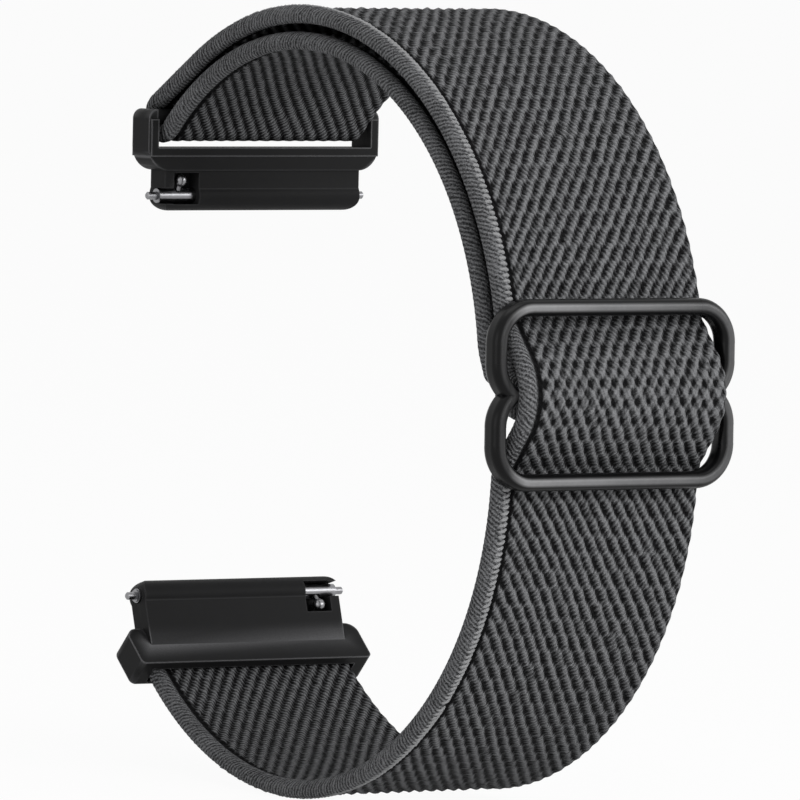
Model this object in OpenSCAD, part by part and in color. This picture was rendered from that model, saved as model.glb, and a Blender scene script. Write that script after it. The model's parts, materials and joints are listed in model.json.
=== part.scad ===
// Elastic nylon loop watch band with a slide buckle and quick-release spring bars.
// X runs along the spring bars, Y towards the watch side, Z up.
// The origin is the middle of the watch head, halfway between the two spring bars.
// Pairs of numbers in the functions are [y, z] points of the side view.

/* [Webbing] */
// Width of the elastic webbing
web_width = 22; // [16:1:24]
// Thickness over the selvedges
web_thickness = 1.6; // [1.2:0.1:2.2]
// Thickness of the woven field
field_thickness = 1.4; // [1:0.1:1.8]
// Thickness of the webbing in the groove beside the corded selvedge
groove_thickness = 0.9; // [0.6:0.1:1.2]
// Width of that groove
groove_width = 0.4; // [0.2:0.1:0.8]

/* [Loop] */
// Distance between the two spring bars
bar_span = 36.4; // [30:0.2:44]
// Radius of the loop, measured in the middle of the webbing
loop_radius = 32; // [29:0.1:35]
// Flat stretch of the loop behind the buckle
loop_straight = 5.4; // [2:0.2:8]
// Offset of the lower half of the loop towards the watch
loop_set = 0.3; // [0:0.05:0.8]
// Height of the middle of the loop above the watch head
loop_rise = 1.7; // [-3:0.1:4]
// Spacing of the outer and inner run at the top of the loop
run_spacing = 2.37; // [2:0.05:3]
// Growth of that spacing towards the buckle
run_spread = 0.45; // [0.1:0.05:0.8]
// Slope of the inner run where it meets the buckle, in degrees
run_slope = 27; // [24:1:32]
// Radius of the curve that leads into that slope
turn_radius = 6; // [4:0.5:8]

/* [Slide buckle] */
// Gap between the webbing and each side of the buckle
side_gap = 0.5; // [0.3:0.05:1]
// Distance between its upper and lower bar
bar_pitch = 15.2; // [12:0.2:20]
// Thickness of the frame as seen from the front
frame_width = 1.5; // [1.2:0.1:1.8]
// Depth of the frame from the front to the wrist side
frame_depth = 2.2; // [1.8:0.1:2.6]
// Corner radius in the middle of the frame
corner_radius = 3.2; // [2:0.1:3.6]
// Radius of the curves that pinch the waist
waist_radius = 3.2; // [2.4:0.1:3.6]
// Turn of those curves, in degrees
waist_turn = 60; // [50:1:64]
// Diameter of the centre bar
centre_bar_d = 1.1; // [0.8:0.1:1.6]
// Setback of the centre bar towards the wrist
centre_bar_set = 1.1; // [0.8:0.05:1.6]
// Offset of the buckle above the middle of the flat stretch
buckle_shift = 4.4; // [1:0.1:5]
// Radius of the webbing where it turns under the outer bars
under_radius = 3; // [2:0.1:4]
// Radius of the webbing where it crosses the centre bar
crown_radius = 5; // [3:0.1:6]
// Free stretch of the run between the sewn tail and the curve above it
tail_free = 0.3; // [0.1:0.05:0.6]
// Radius of the turn into the tail
tail_radius = 1.2; // [1:0.1:2]
// Diameter of the sewing thread
thread_d = 0.26; // [0.2:0.02:0.4]

/* [End adapters] */
// Distance between the watch lugs
lug_width = 22; // [18:1:24]
// Free space between an adapter and each lug
lug_gap = 0.35; // [0.2:0.05:0.6]
// Gap between the webbing and each end of the upper adapter's slot
slot_side = 0.65; // [0.3:0.05:1]
// Thickness of an adapter beside that slot
cheek = 0.95; // [0.7:0.05:1.6]
// Radius of the rounded nose around the spring bar
nose_radius = 1.35; // [1.1:0.05:1.8]
// Corner radius of the nose seen from the front
nose_corner = 1.1; // [0.4:0.1:2]
// Thickness of the plate behind the nose
plate_thickness = 2.3; // [1.8:0.1:3]
// Lean of the upper adapter towards the watch, in degrees
upper_lean = 3; // [-10:0.2:15]
// Distance from the spring bar to the bar that the webbing folds over
fold_reach = 7.15; // [6:0.05:9]
// Diameter of that fold bar
fold_bar_d = 1.4; // [1:0.1:2]
// Start of the wide part of the upper adapter above the spring bar
shoulder_reach = 2.3; // [2:0.1:4]
// Thickness of the wide part
wide_thickness = 2.7; // [2.2:0.1:3.4]
// Radius of its lower corners
wide_corner = 2.2; // [1:0.1:2.6]
// Gap left under the webbing in the slot
slot_play = 0.4; // [0.2:0.05:0.8]
// Width of the raised rim around the slot
rim_width = 0.8; // [0.5:0.1:1.2]
// Height of that rim
rim_height = 0.2; // [0.1:0.05:0.4]
// Distance from the lower spring bar to the mouth of the webbing socket
socket_reach = 7.6; // [7:0.1:9]
// Distance of that mouth inside the loop circle
socket_inset = 1.1; // [0.8:0.1:2]
// Offset of the block behind the socket, inwards from the webbing
block_set = 0.3; // [0:0.05:0.4]
// Length of the block that holds the socket
block_length = 4.2; // [3.4:0.1:6]
// Depth of the socket
socket_depth = 3; // [2:0.1:4]
// Thickness of the block
block_thickness = 2.8; // [2.5:0.1:3.6]
// Length of the webbing that flexes beside the block
bend_length = 6; // [4:0.5:8]

/* [Quick-release spring bars] */
// Outer diameter of the tube
tube_d = 1.3; // [1.1:0.1:1.6]
// Inner diameter of the tube
tube_bore_d = 0.9; // [0.8:0.02:1.1]
// Length by which the tube stands out of each side of the adapter
tube_proud = 0.15; // [0.05:0.05:0.3]
// Diameter of the tips
tip_d = 0.7; // [0.6:0.05:0.9]
// Length of the tips past their collars
tip_length = 0.9; // [0.6:0.1:1.2]
// Travel of the release knob
release_travel = 0.9; // [0.6:0.1:1.2]
// Distance of the knob from the end of the adapter
knob_inset = 2; // [1.6:0.05:4]
// Diameter of the ball on the knob
ball_d = 1.16; // [0.9:0.02:1.4]
// Diameter of the stem under the ball
stem_d = 0.5; // [0.4:0.02:0.6]
// Distance of the ball from the bar's axis
ball_reach = 1.55; // [1.3:0.05:2]
// Lean of the stem from the plate towards the wrist, in degrees
stem_lean = 25; // [10:1:60]
// Width of the window around the knob
window_width = 2.7; // [2.4:0.1:3.4]
// Edge of the window behind the bar's axis
window_below = 0.75; // [0.6:0.05:1]
// Height of the window above the bar's axis
window_above = 2.1; // [1.8:0.1:2.4]
// Wire diameter of the spring in the tube
spring_wire = 0.16; // [0.12:0.02:0.2]
// Turns of that spring
spring_turns = 12; // [8:1:16]

/* [Fits] */
// Play between the webbing and the outer bars of the buckle
bar_play = 0.15; // [0.05:0.05:0.4]
// Play between the webbing and the bars it passes
web_play = 0.06; // [0.02:0.01:0.15]
// Radial clearance of the spring bar in its bore
bore_play = 0.05; // [0.02:0.01:0.1]
// Radial running clearance of the plunger
plunger_play = 0.03; // [0.01:0.01:0.06]
// Play between layers of webbing
layer_play = 0.03; // [0.01:0.01:0.1]
// Play between the sewn end and each side of the waist
end_play = 0.1; // [0.05:0.05:0.4]

/* [Colours] */
// Colour of the webbing
web_colour = "#46474A"; // color
// Colour of the sewing thread
thread_colour = "#2E2F31"; // color
// Colour of the adapters
adapter_colour = "#262626"; // color
// Colour of the buckle
buckle_colour = "#151515"; // color
// Colour of the spring bars
steel_colour = "#B8B9BC"; // color

/* [Hidden] */
$fa = 3;
$fs = 0.25;

edge_r = web_thickness / 2;
cut = 0.1;
// Stretches of webbing or frame run into their neighbours by lap, and are thinner there by seam
lap = 0.15;
seam = 0.01;

// Points and directions of the side view
function dir(a) = [cos(a), sin(a)];
function ang(v) = atan2(v[1], v[0]);
// Angle a, turned up by whole turns until it is past the angle from
function past(a, from) = a + 360 * ceil((from - a) / 360);
// Normal of the straight line that touches circle a outside and circle b inside
function cross_normal(a, ra, b, rb, side) =
    ang(b - a) + side * acos((ra + rb) / norm(b - a));
// Normal of the straight line that touches both circles on the same side
function same_normal(a, ra, b, rb, side) =
    ang(b - a) + side * acos((ra - rb) / norm(b - a));
// Point at ra from a and at rb from b
function meet(a, ra, b, rb, side) =
    let (d = norm(b - a), x = (d * d + ra * ra - rb * rb) / (2 * d))
    a + x * dir(ang(b - a)) + side * sqrt(ra * ra - x * x) * dir(ang(b - a) + 90);

// The two spring bars and the fold bar
upper_bar = [0, bar_span / 2];
lower_bar = [0, -bar_span / 2];
upper_axis = 90 - upper_lean;
fold_bar = upper_bar + fold_reach * dir(upper_axis);
fold_r = fold_bar_d / 2 + edge_r + web_play;

// The two arcs of the loop: the fold bar lies inside the upper one, where both runs clear it
spread_reach = 0.81 * run_spread;
run_clear = 0.01;
fold_inset = run_spacing + run_spread / 2 - fold_r - spread_reach - run_clear;
upper_z = loop_rise + loop_straight / 2;
upper_c = [fold_bar[0] - sqrt(pow(loop_radius - fold_inset, 2) - pow(fold_bar[1] - upper_z, 2)),
    upper_z];
lower_c = upper_c + [loop_set, -loop_straight];

// The buckle rests on the webbing with its outer bars
side_x = web_width / 2 + side_gap + frame_width / 2;
waist_z = waist_radius * sin(waist_turn);
waist_x = side_x - waist_radius * (1 - cos(waist_turn));
rest_r = loop_radius + edge_r + bar_play + frame_depth / 2;
upper_rest = 180 - asin((bar_pitch / 2 - loop_straight / 2 + buckle_shift) / rest_r);
lower_rest = 180 + asin((bar_pitch / 2 - loop_straight / 2 - buckle_shift) / rest_r);
top_bar_c = upper_c + rest_r * dir(upper_rest);
bottom_bar_c = lower_c + rest_r * dir(lower_rest);
buckle_c = (top_bar_c + bottom_bar_c) / 2;
buckle_axis = ang(top_bar_c - bottom_bar_c);
buckle_out = dir(buckle_axis + 90);

// The sewn end around the centre bar
wrap_c = buckle_c - centre_bar_set * buckle_out;
wrap_r = centre_bar_d / 2 + edge_r + web_play;
inner_r = loop_radius - run_spacing - run_spread / 2;
inner_c = upper_c + spread_reach * dir(ang(fold_bar - upper_c));
run_normal = 180 - run_slope;
run_axis = run_normal - 90;
turn_foot = wrap_c + (turn_radius - wrap_r) * dir(run_normal);
turn_along = (inner_c - turn_foot) * dir(run_axis);
sewn_length = turn_along - sqrt(pow(turn_along, 2) + pow(inner_r + turn_radius, 2)
    - pow(norm(inner_c - turn_foot), 2));
turn_c = turn_foot + sewn_length * dir(run_axis);
turn_from = ang(turn_c - inner_c);
end_width = 2 * (waist_x - frame_width / 2 - end_play);
squeeze_length = 1.6;
tail_gap = web_thickness + layer_play;
tail_rise = asin((tail_gap + tail_radius - wrap_r) / (wrap_r + tail_radius));
tail_start = (wrap_r + tail_radius) * cos(tail_rise);
tail_c = wrap_c + (wrap_r + tail_radius) * dir(run_axis + tail_rise);
tail_run = sewn_length - tail_start - tail_free;
run_foot = wrap_c - wrap_r * dir(run_normal);

// The bridge of webbing over the centre bar
crown_c = buckle_c + (wrap_r + 2 * edge_r + layer_play - centre_bar_set - crown_radius)
    * buckle_out;
upper_under_c = upper_c + (loop_radius + under_radius) * dir(upper_rest);
lower_under_c = lower_c + (loop_radius + under_radius) * dir(lower_rest);
upper_flank = cross_normal(crown_c, crown_radius, upper_under_c, under_radius, 1);
lower_flank = past(cross_normal(crown_c, crown_radius, lower_under_c, under_radius, -1),
    upper_flank);

// Ends of the webbing that stays put while the buckle slides
slide_up = 15;
slide_down = 6;
spare_turn = 4;
take_up_turn = slide_up + spare_turn;
upper_stay = upper_rest - take_up_turn;
lower_stay = lower_rest + slide_down + 2 * spare_turn;
inner_stay = turn_from - take_up_turn;

// The fold and both runs that meet there
outer_normal = same_normal(upper_c, loop_radius, fold_bar, fold_r, 1);
inner_normal = cross_normal(inner_c, inner_r, fold_bar, fold_r, 1);

// The lower run bends a little tighter than the loop, so that it meets its socket
socket_p = meet(lower_c, loop_radius - socket_inset, lower_bar, socket_reach, -1);
socket_v = socket_p - lower_c;
socket_along = socket_v * dir(lower_stay);
end_r = (socket_v * socket_v - 2 * loop_radius * socket_along + pow(loop_radius, 2))
    / (2 * (loop_radius - socket_along));
end_c = lower_c + (loop_radius - end_r) * dir(lower_stay);
socket_normal = past(ang(socket_p - end_c), lower_stay);
bend_turn = bend_length / end_r * 180 / PI;
block_p = socket_p - block_set * dir(socket_normal);
block_middle = block_p + block_length / 2 * dir(socket_normal + 90);
lower_axis = ang(block_middle - lower_bar);

// Sizes of the adapters and spring bars
narrow_width = lug_width - 2 * lug_gap;
bore_d = tube_d + 2 * bore_play;
tube_end = narrow_width / 2 + tube_proud;
collar_end = tube_end + tube_proud;
tip_end = collar_end + tip_length;
slot_width = web_width + 2 * slot_side;
wide_width = slot_width + 2 * cheek;
slot_floor = fold_reach - fold_r - edge_r - slot_play;
wide_top = fold_reach + fold_bar_d / 2;
plunger_d = tube_bore_d - 2 * plunger_play;
lip_length = 0.35;
neck_start = tube_end - lip_length - 0.02;
neck_d = tip_d - 0.04;
knob_place = narrow_width / 2 - knob_inset;
plunger_tail = knob_place - 1.4;
plug_inside = 2.6;
collar_d = (tube_d + tube_bore_d) / 2;
tip_chamfer = 0.12;
window_x = knob_place - window_width / 2 - (release_travel - 0.2) / 2;

// Section of the webbing: a woven field that is rolled over at +X, and a cord along -X
module web_section(width, inset) {
    edge_x = width / 2 - edge_r;
    field_x = edge_r + groove_width - edge_x + inset;
    translate([field_x, inset - field_thickness / 2])
        square([edge_x - field_x, field_thickness - 2 * inset]);
    square([2 * edge_x, groove_thickness - 2 * inset], center = true);
    for (side = [-1, 1])
        translate([side * edge_x, 0]) circle(r = edge_r - inset, $fn = 24);
}

// Webbing that bends around c from angle a0 to angle a1; laps says which ends run on
module web_arc(c, r, a0, a1, width = web_width, laps = [0, 0]) {
    lap_turn = lap / r * 180 / PI;
    translate([0, c[0], c[1]])
        rotate([90, 0, 90])
            rotate([0, 0, a0 - laps[0] * lap_turn])
                rotate_extrude(angle = a1 - a0 + (laps[0] + laps[1]) * lap_turn, $fn = 180)
                    translate([r, 0])
                        rotate(90)
                            web_section(width, max(laps) * seam);
}

// Straight webbing from p, with its face towards the angle normal
module web_straight(p, normal, length, width = web_width, laps = [0, 0]) {
    translate([0, p[0], p[1]])
        rotate([normal, 0, 0])
            translate([0, 0, -laps[0] * lap])
                linear_extrude(length + (laps[0] + laps[1]) * lap)
                    web_section(width, max(laps) * seam);
}

module web_outer_run() {
    color(web_colour) {
        web_arc(upper_c, loop_radius, outer_normal, upper_stay);
        web_straight(fold_bar + fold_r * dir(outer_normal), outer_normal,
            norm(upper_c + loop_radius * dir(outer_normal)
                - fold_bar - fold_r * dir(outer_normal)), laps = [0, 1]);
    }
}

module web_fold() {
    color(web_colour)
        web_arc(fold_bar, fold_r, inner_normal - 180, outer_normal);
}

module web_inner_run() {
    foot = fold_bar - fold_r * dir(inner_normal);
    color(web_colour) {
        web_straight(foot, inner_normal, norm(inner_c + inner_r * dir(inner_normal) - foot),
            laps = [0, 1]);
        web_arc(inner_c, inner_r, inner_normal, inner_stay);
    }
}

module web_inner_take_up() {
    color(web_colour) {
        web_arc(inner_c, inner_r, inner_stay, turn_from);
        web_arc(turn_c, turn_radius, run_normal + 180, turn_from + 180, laps = [0, 1]);
    }
}

module web_upper_take_up() {
    color(web_colour)
        web_arc(upper_c, loop_radius, upper_stay, upper_rest);
}

module web_bridge() {
    upper_foot = upper_under_c - under_radius * dir(upper_flank);
    upper_top = crown_c + crown_radius * dir(upper_flank);
    lower_foot = lower_under_c - under_radius * dir(lower_flank);
    lower_top = crown_c + crown_radius * dir(lower_flank);
    color(web_colour) {
        web_arc(upper_under_c, under_radius, upper_flank + 180, upper_rest + 180);
        web_straight(upper_foot, upper_flank, norm(upper_top - upper_foot), laps = [1, 1]);
        web_arc(crown_c, crown_radius, upper_flank, lower_flank);
        web_straight(lower_top, lower_flank, norm(lower_top - lower_foot), laps = [1, 1]);
        web_arc(lower_under_c, under_radius, lower_rest + 180, lower_flank + 180);
    }
}

module web_end_loop() {
    color(web_colour) {
        web_straight(run_foot + sewn_length * dir(run_axis), run_normal,
            sewn_length - squeeze_length);
        web_straight(run_foot + squeeze_length * dir(run_axis), run_normal, squeeze_length,
            end_width, [1, 1]);
        web_arc(wrap_c, wrap_r, run_axis + tail_rise, run_normal + 180, end_width);
        web_arc(tail_c, tail_radius, run_axis + tail_rise + 180, run_normal + 180, end_width,
            [1, 1]);
        web_straight(tail_c - tail_radius * dir(run_normal) + tail_run * dir(run_axis),
            run_normal, tail_run, end_width);
    }
}

// One stitch: two legs through both layers and a strand on each face
module stitch(span) {
    depth = tail_gap + field_thickness + thread_d;
    for (side = [-1, 1])
        translate([side * span / 2, 0, 0])
            rotate([-90, 0, 0])
                cylinder(d = thread_d, h = depth, center = true, $fn = 16);
    for (face = [-1, 1])
        translate([0, face * (depth - thread_d) / 2, 0])
            rotate([0, 90, 0])
                cylinder(d = thread_d, h = span + thread_d, center = true, $fn = 16);
}

module end_loop_stitches() {
    rows = 2;
    count = 9;
    row_inset = 2 * thread_d;
    pitch = (end_width - 3 * web_thickness) / count;
    color(thread_colour)
        for (row = [0 : rows - 1], i = [0 : count - 1])
            let (reach = tail_start + row_inset + row * (tail_run - 2 * row_inset),
                p = run_foot + reach * dir(run_axis) + tail_gap / 2 * dir(run_normal))
            translate([(i - (count - 1) / 2) * pitch, p[0], p[1]])
                rotate([run_normal, 0, 0])
                    stitch(pitch * 0.6);
}

module web_lower_take_up() {
    color(web_colour)
        web_arc(lower_c, loop_radius, lower_rest, lower_stay);
}

module web_lower_run() {
    color(web_colour)
        web_arc(end_c, end_r, lower_stay, socket_normal - bend_turn);
}

module web_lower_bend() {
    color(web_colour)
        web_arc(end_c, end_r, socket_normal - bend_turn, socket_normal);
}

module web_lower_end() {
    color(web_colour)
        web_straight(socket_p, socket_normal, socket_depth);
}

// Flat-sided oval of the buckle's frame
module frame_section(inset = 0) {
    flat = frame_depth - frame_width;
    square([frame_width - 2 * inset, flat], center = true);
    for (side = [-1, 1])
        translate([0, side * flat / 2]) circle(d = frame_width - 2 * inset, $fn = 32);
}

// Curved part of the frame around [x, z], seen from the front
module frame_arc(x, z, r, a0, a1) {
    translate([x, 0, z])
        rotate([90, 0, 0])
            rotate([0, 0, a0])
                rotate_extrude(angle = a1 - a0, $fn = 96)
                    translate([r, 0])
                        frame_section();
}

// Straight part of the frame from [x, z] along the angle a, into the curves at both ends
module frame_straight(x, z, a, length) {
    translate([x, 0, z])
        rotate([90, 0, 0])
            rotate([0, 0, a])
                rotate([90, 0, 90])
                    translate([0, 0, -lap])
                        linear_extrude(length + 2 * lap)
                            frame_section(seam);
}

// Knuckle where the two rings of the frame meet: it reaches back to the centre bar
module waist_knuckle() {
    front = (frame_depth - frame_width) / 2;
    translate([0, -front, 0])
        rotate([-90, 0, 0])
            cylinder(d = frame_width - 2 * seam, h = front + centre_bar_set, $fn = 32);
    for (depth = [-front, centre_bar_set])
        translate([0, depth, 0])
            sphere(d = frame_width - 2 * seam, $fn = 32);
}

module buckle_frame() {
    top_z = bar_pitch / 2;
    color(buckle_colour)
        translate([0, buckle_c[0], buckle_c[1]])
            rotate([buckle_axis - 90, 0, 0]) {
                for (flip = [0, 1])
                    mirror([0, 0, flip]) {
                        frame_straight(corner_radius - side_x, top_z, 0,
                            2 * (side_x - corner_radius));
                        for (side = [0, 1])
                            mirror([side, 0, 0]) {
                                frame_arc(side_x - corner_radius, top_z - corner_radius,
                                    corner_radius, 0, 90);
                                frame_straight(side_x, waist_z, 90,
                                    top_z - corner_radius - waist_z);
                                frame_arc(side_x - waist_radius, waist_z, waist_radius,
                                    -waist_turn, 0);
                            }
                    }
                for (side = [-1, 1])
                    translate([side * waist_x, 0, 0]) waist_knuckle();
                translate([0, centre_bar_set, 0])
                    rotate([0, 90, 0])
                        cylinder(d = centre_bar_d, h = 2 * waist_x, center = true, $fn = 32);
            }
}

// Frames of the two ends: X' along the bar, Y' to the wrist, Z' away from the watch
module at_upper_end() {
    translate([0, upper_bar[0], upper_bar[1]])
        rotate([upper_axis - 90, 0, 0])
            rotate([0, 0, 180])
                children();
}

module at_lower_end() {
    translate([0, lower_bar[0], lower_bar[1]])
        rotate([lower_axis - 90, 0, 0])
            children();
}

// Outline with its four corners rounded, from z0 to z1
module round_plate(width, z0, z1, r_low, r_high) {
    translate([0, z0 + r_low / 2]) square([width - 2 * r_low, r_low], center = true);
    translate([0, z1 - r_high / 2]) square([width - 2 * r_high, r_high], center = true);
    translate([0, (z0 + r_low + z1 - r_high) / 2])
        square([width, z1 - r_high - z0 - r_low], center = true);
    for (side = [-1, 1]) {
        translate([side * (width / 2 - r_low), z0 + r_low]) circle(r = r_low, $fn = 48);
        translate([side * (width / 2 - r_high), z1 - r_high]) circle(r = r_high, $fn = 48);
    }
}

// Part of an adapter between the lugs: a nose around the bar and a flat plate
module nose_plate(reach) {
    intersection() {
        rotate([90, 0, 90])
            linear_extrude(narrow_width, center = true) {
                circle(r = nose_radius, $fn = 64);
                translate([-plate_thickness / 2, 0])
                    square([plate_thickness, reach]);
            }
        rotate([90, 0, 0])
            linear_extrude(4 * nose_radius, center = true)
                round_plate(narrow_width, -nose_radius, reach + nose_radius,
                    nose_corner, nose_corner);
    }
}

// Bore of the spring bar, with the window and the open end beside the knob
module bar_cuts() {
    rotate([0, 90, 0])
        cylinder(d = bore_d, h = narrow_width + 2 * cut, center = true, $fn = 48);
    translate([window_x, -bore_d / 3, -window_below])
        cube([window_width, 2 * nose_radius, window_below + window_above]);
    translate([window_x, 0, -bore_d / 2])
        cube([narrow_width, 2 * nose_radius, bore_d]);
}

module upper_adapter() {
    color(adapter_colour)
        at_upper_end()
            difference() {
                union() {
                    nose_plate(shoulder_reach + cut);
                    rotate([90, 0, 0])
                        linear_extrude(wide_thickness, center = true)
                            difference() {
                                round_plate(wide_width, shoulder_reach, wide_top,
                                    wide_corner, 0.9);
                                translate([-slot_width / 2, slot_floor])
                                    square([slot_width, wide_top]);
                            }
                    rotate([90, 0, 0])
                        linear_extrude(wide_thickness + 2 * rim_height, center = true)
                            difference() {
                                translate([-slot_width / 2 - rim_width, slot_floor - rim_width])
                                    square([slot_width + 2 * rim_width,
                                        wide_top - slot_floor + rim_width - 0.9]);
                                translate([-slot_width / 2, slot_floor])
                                    square([slot_width, wide_top]);
                            }
                    translate([0, 0, fold_reach])
                        rotate([0, 90, 0])
                            cylinder(d = fold_bar_d, h = slot_width + 1, center = true, $fn = 48);
                }
                bar_cuts();
            }
}

module lower_adapter() {
    color(adapter_colour)
        difference() {
            union() {
                at_lower_end()
                    nose_plate(norm(block_middle - lower_bar));
                translate([0, block_p[0], block_p[1]])
                    rotate([socket_normal, 0, 0])
                        rotate([90, 0, 0])
                            linear_extrude(block_thickness, center = true)
                                round_plate(wide_width, 0, block_length, 0.5, 1.1);
            }
            at_lower_end()
                bar_cuts();
            translate([0, socket_p[0], socket_p[1]])
                rotate([socket_normal, 0, 0])
                    translate([0, 0, (socket_depth + layer_play - cut) / 2])
                        cube([web_width + 2 * layer_play, web_thickness + 2 * layer_play,
                            socket_depth + layer_play + cut], center = true);
        }
}

// Rod along X' from x0 to x1
module rod(d, x0, x1) {
    translate([x0, 0, 0])
        rotate([0, 90, 0])
            cylinder(d = d, h = x1 - x0, $fn = 32);
}

// Turns its children to the direction of the knob's stem
module at_stem() {
    translate([knob_place, 0, 0])
        rotate([-stem_lean, 0, 0])
            children();
}

module bar_tube() {
    color(steel_colour)
        difference() {
            rod(tube_d, -tube_end, tube_end);
            rod(tube_bore_d, -tube_end - cut, tube_end - lip_length);
            rod(tip_d + 2 * plunger_play, 0, tube_end + cut);
            at_stem()
                translate([-release_travel - stem_d / 2 - 0.1, -stem_d / 2 - 0.1, 0])
                    cube([release_travel + stem_d + 0.2, stem_d + 0.2, tube_d]);
        }
}

// Rod along X' that tapers from d0 to d1
module taper(d0, d1, x0, x1) {
    translate([x0, 0, 0])
        rotate([0, 90, 0])
            cylinder(d1 = d0, d2 = d1, h = x1 - x0, $fn = 32);
}

// Tip with a chamfered end, from its collar outwards
module tip(from, to) {
    rod(tip_d, from, to - tip_chamfer);
    taper(tip_d, tip_d - 2 * tip_chamfer, to - tip_chamfer, to);
}

module fixed_tip() {
    color(steel_colour)
        mirror([1, 0, 0]) {
            rod(tube_bore_d - 0.02, tube_end - plug_inside, neck_start);
            taper(tube_bore_d - 0.02, tip_d, neck_start, tube_end);
            rod(collar_d, tube_end, collar_end);
            tip(collar_end, tip_end);
        }
}

module plunger() {
    color(steel_colour)
        difference() {
            union() {
                rod(plunger_d, plunger_tail, neck_start);
                taper(neck_d, tip_d, neck_start, collar_end);
                tip(collar_end, tip_end);
            }
            at_stem()
                cylinder(d = stem_d, h = tube_d, $fn = 24);
        }
}

module release_knob() {
    color(steel_colour)
        at_stem() {
            cylinder(d = stem_d, h = ball_reach, $fn = 24);
            translate([0, 0, ball_reach]) sphere(d = ball_d, $fn = 40);
        }
}

// Coil between the plug of the fixed tip and the tail of the plunger
module bar_spring() {
    sides = 4;
    steps = 8;
    mean_r = (tube_bore_d - spring_wire) / 2 - plunger_play;
    from = -tube_end + plug_inside + spring_wire / 2 + layer_play;
    to = plunger_tail - spring_wire / 2 - layer_play;
    count = spring_turns * steps;
    rings = [for (i = [0 : count], j = [0 : sides - 1])
        let (a = i * 360 / steps, b = j * 360 / sides,
            r = mean_r + spring_wire / 2 * cos(b))
        [from + (to - from) * i / count + spring_wire / 2 * sin(b), r * cos(a), r * sin(a)]];
    skin = [for (i = [0 : count - 1], j = [0 : sides - 1])
        let (k = (j + 1) % sides)
        [i * sides + j, i * sides + k, (i + 1) * sides + k, (i + 1) * sides + j]];
    ends = [[for (j = [sides - 1 : -1 : 0]) j], [for (j = [0 : sides - 1]) count * sides + j]];
    color(steel_colour)
        polyhedron(points = rings, faces = concat(skin, ends), convexity = 10);
}

module upper_bar_tube() at_upper_end() bar_tube();
module upper_fixed_tip() at_upper_end() fixed_tip();
module upper_plunger() at_upper_end() plunger();
module upper_release_knob() at_upper_end() release_knob();
module upper_bar_spring() at_upper_end() bar_spring();
module lower_bar_tube() at_lower_end() bar_tube();
module lower_fixed_tip() at_lower_end() fixed_tip();
module lower_plunger() at_lower_end() plunger();
module lower_release_knob() at_lower_end() release_knob();
module lower_bar_spring() at_lower_end() bar_spring();

web_outer_run();
web_fold();
web_inner_run();
web_inner_take_up();
web_upper_take_up();
web_bridge();
web_end_loop();
end_loop_stitches();
web_lower_take_up();
web_lower_run();
web_lower_bend();
web_lower_end();
buckle_frame();
upper_adapter();
lower_adapter();
upper_bar_tube();
upper_fixed_tip();
upper_plunger();
upper_release_knob();
upper_bar_spring();
lower_bar_tube();
lower_fixed_tip();
lower_plunger();
lower_release_knob();
lower_bar_spring();
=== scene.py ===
"""Looks of an elastic nylon loop watch band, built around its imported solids.

Lengths in the groups are in millimetres of the real band, and meshes are in metres.
X runs along the spring bars, Y towards the watch side, Z up. Pairs of numbers are [y, z].
"""

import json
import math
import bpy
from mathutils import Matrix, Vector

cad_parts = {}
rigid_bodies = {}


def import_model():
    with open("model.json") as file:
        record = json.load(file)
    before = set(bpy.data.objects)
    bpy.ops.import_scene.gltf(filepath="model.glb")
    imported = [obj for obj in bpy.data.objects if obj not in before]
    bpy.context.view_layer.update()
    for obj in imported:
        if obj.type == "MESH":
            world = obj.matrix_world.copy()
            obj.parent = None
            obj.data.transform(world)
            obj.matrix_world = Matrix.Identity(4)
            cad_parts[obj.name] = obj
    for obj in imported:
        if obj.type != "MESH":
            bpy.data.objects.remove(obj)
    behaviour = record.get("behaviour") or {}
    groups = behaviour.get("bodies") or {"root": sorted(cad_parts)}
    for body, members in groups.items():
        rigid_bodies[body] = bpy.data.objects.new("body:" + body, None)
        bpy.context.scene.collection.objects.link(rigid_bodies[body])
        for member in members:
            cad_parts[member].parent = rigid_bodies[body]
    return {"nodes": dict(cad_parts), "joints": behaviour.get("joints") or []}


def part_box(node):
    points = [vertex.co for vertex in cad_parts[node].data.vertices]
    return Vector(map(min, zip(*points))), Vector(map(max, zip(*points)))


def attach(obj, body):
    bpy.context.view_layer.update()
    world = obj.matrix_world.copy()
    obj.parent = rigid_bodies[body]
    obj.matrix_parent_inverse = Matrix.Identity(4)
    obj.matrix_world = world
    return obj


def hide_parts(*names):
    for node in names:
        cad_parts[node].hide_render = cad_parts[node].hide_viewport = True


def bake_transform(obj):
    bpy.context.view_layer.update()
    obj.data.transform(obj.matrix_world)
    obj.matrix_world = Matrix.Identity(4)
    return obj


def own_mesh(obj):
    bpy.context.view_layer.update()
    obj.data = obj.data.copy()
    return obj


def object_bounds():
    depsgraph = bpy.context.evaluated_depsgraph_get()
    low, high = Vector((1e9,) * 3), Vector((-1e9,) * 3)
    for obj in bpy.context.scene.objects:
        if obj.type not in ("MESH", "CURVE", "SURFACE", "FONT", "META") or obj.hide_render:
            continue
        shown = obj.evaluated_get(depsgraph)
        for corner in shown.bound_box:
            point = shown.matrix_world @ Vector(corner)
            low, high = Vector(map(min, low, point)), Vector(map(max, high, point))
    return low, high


bl_info = {
    "name": "Nylon Loop Watch Band",
    "version": (1, 0, 0),
    "blender": (4, 5, 0),
    "location": "3D View > Sidebar > Watch Band",
    "description": "Weaves the webbing of a loop watch band and finishes its buckle and bars",
    "category": "Object",
}

import bpy
import numpy as np
from mathutils import Matrix, Vector

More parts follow.
